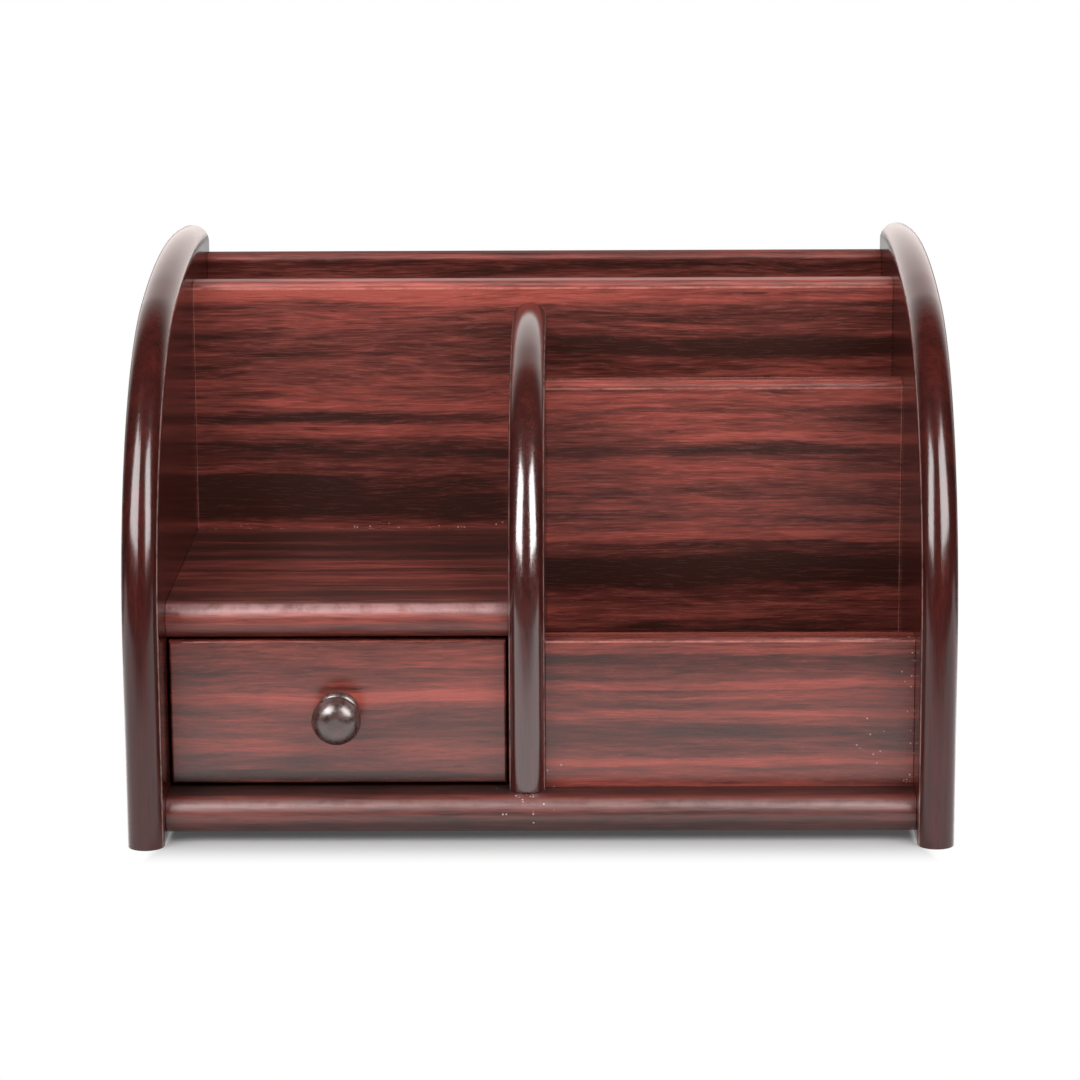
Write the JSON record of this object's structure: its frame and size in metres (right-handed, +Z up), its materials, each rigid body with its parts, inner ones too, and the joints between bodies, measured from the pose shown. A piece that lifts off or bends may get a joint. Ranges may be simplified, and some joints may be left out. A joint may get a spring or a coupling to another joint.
{
  "type": "desk organizer with drawer",
  "caption": "Wood-look desk organizer with arched half-round sides, a divider, upright compartments, an open shelf and a sliding drawer with a turned knob.",
  "frame": {"origin": "middle of the footprint, on the surface that the side panels stand on", "axes": "+X to the right along the width seen from the front, +Y to the rear, +Z up"},
  "size_m": [0.268, 0.205, 0.1776],
  "materials": {
    "rosewood_side_foil": "satin gloss dark red-brown foil over fibreboard, faint grain along the arch",
    "rosewood_board_foil": "satin rosewood-grain foil over fibreboard, streaks along the width",
    "drawer_box_board": "plain dark stained thin board",
    "lacquered_knob": "gloss dark lacquer over turned wood",
    "zinc_steel": "bright zinc-plated steel",
    "beech_dowel": "raw turned beech"
  },
  "bodies": {
    "carcass": {"left_side_panel": "rosewood_side_foil", "right_side_panel": "rosewood_side_foil", "base_board": "rosewood_board_foil", "back_panel": "rosewood_board_foil", "middle_panel": "rosewood_board_foil", "center_divider": "rosewood_side_foil", "drawer_bay_shelf": "rosewood_board_foil", "pocket_panel": "rosewood_board_foil", "pen_tray_panel": "rosewood_board_foil", "base_dowels": "beech_dowel", "shelf_dowels": "beech_dowel", "middle_panel_dowels": "beech_dowel", "back_panel_dowels": "beech_dowel", "pocket_panel_dowels": "beech_dowel", "pen_tray_dowels": "beech_dowel", "divider_dowels": "beech_dowel", "base_screws": "zinc_steel"},
    "drawer": {"drawer_front": "rosewood_board_foil", "drawer_left_side": "drawer_box_board", "drawer_right_side": "drawer_box_board", "drawer_back": "drawer_box_board", "drawer_bottom": "drawer_box_board", "drawer_brads": "zinc_steel", "drawer_knob": "lacquered_knob", "knob_screw": "zinc_steel"}
  },
  "joints": [
    {"name": "drawer_slide", "type": "slide", "parent": "carcass", "child": "drawer", "axis": [0, -1, 0], "range_m": [0, 0.085]}
  ]
}
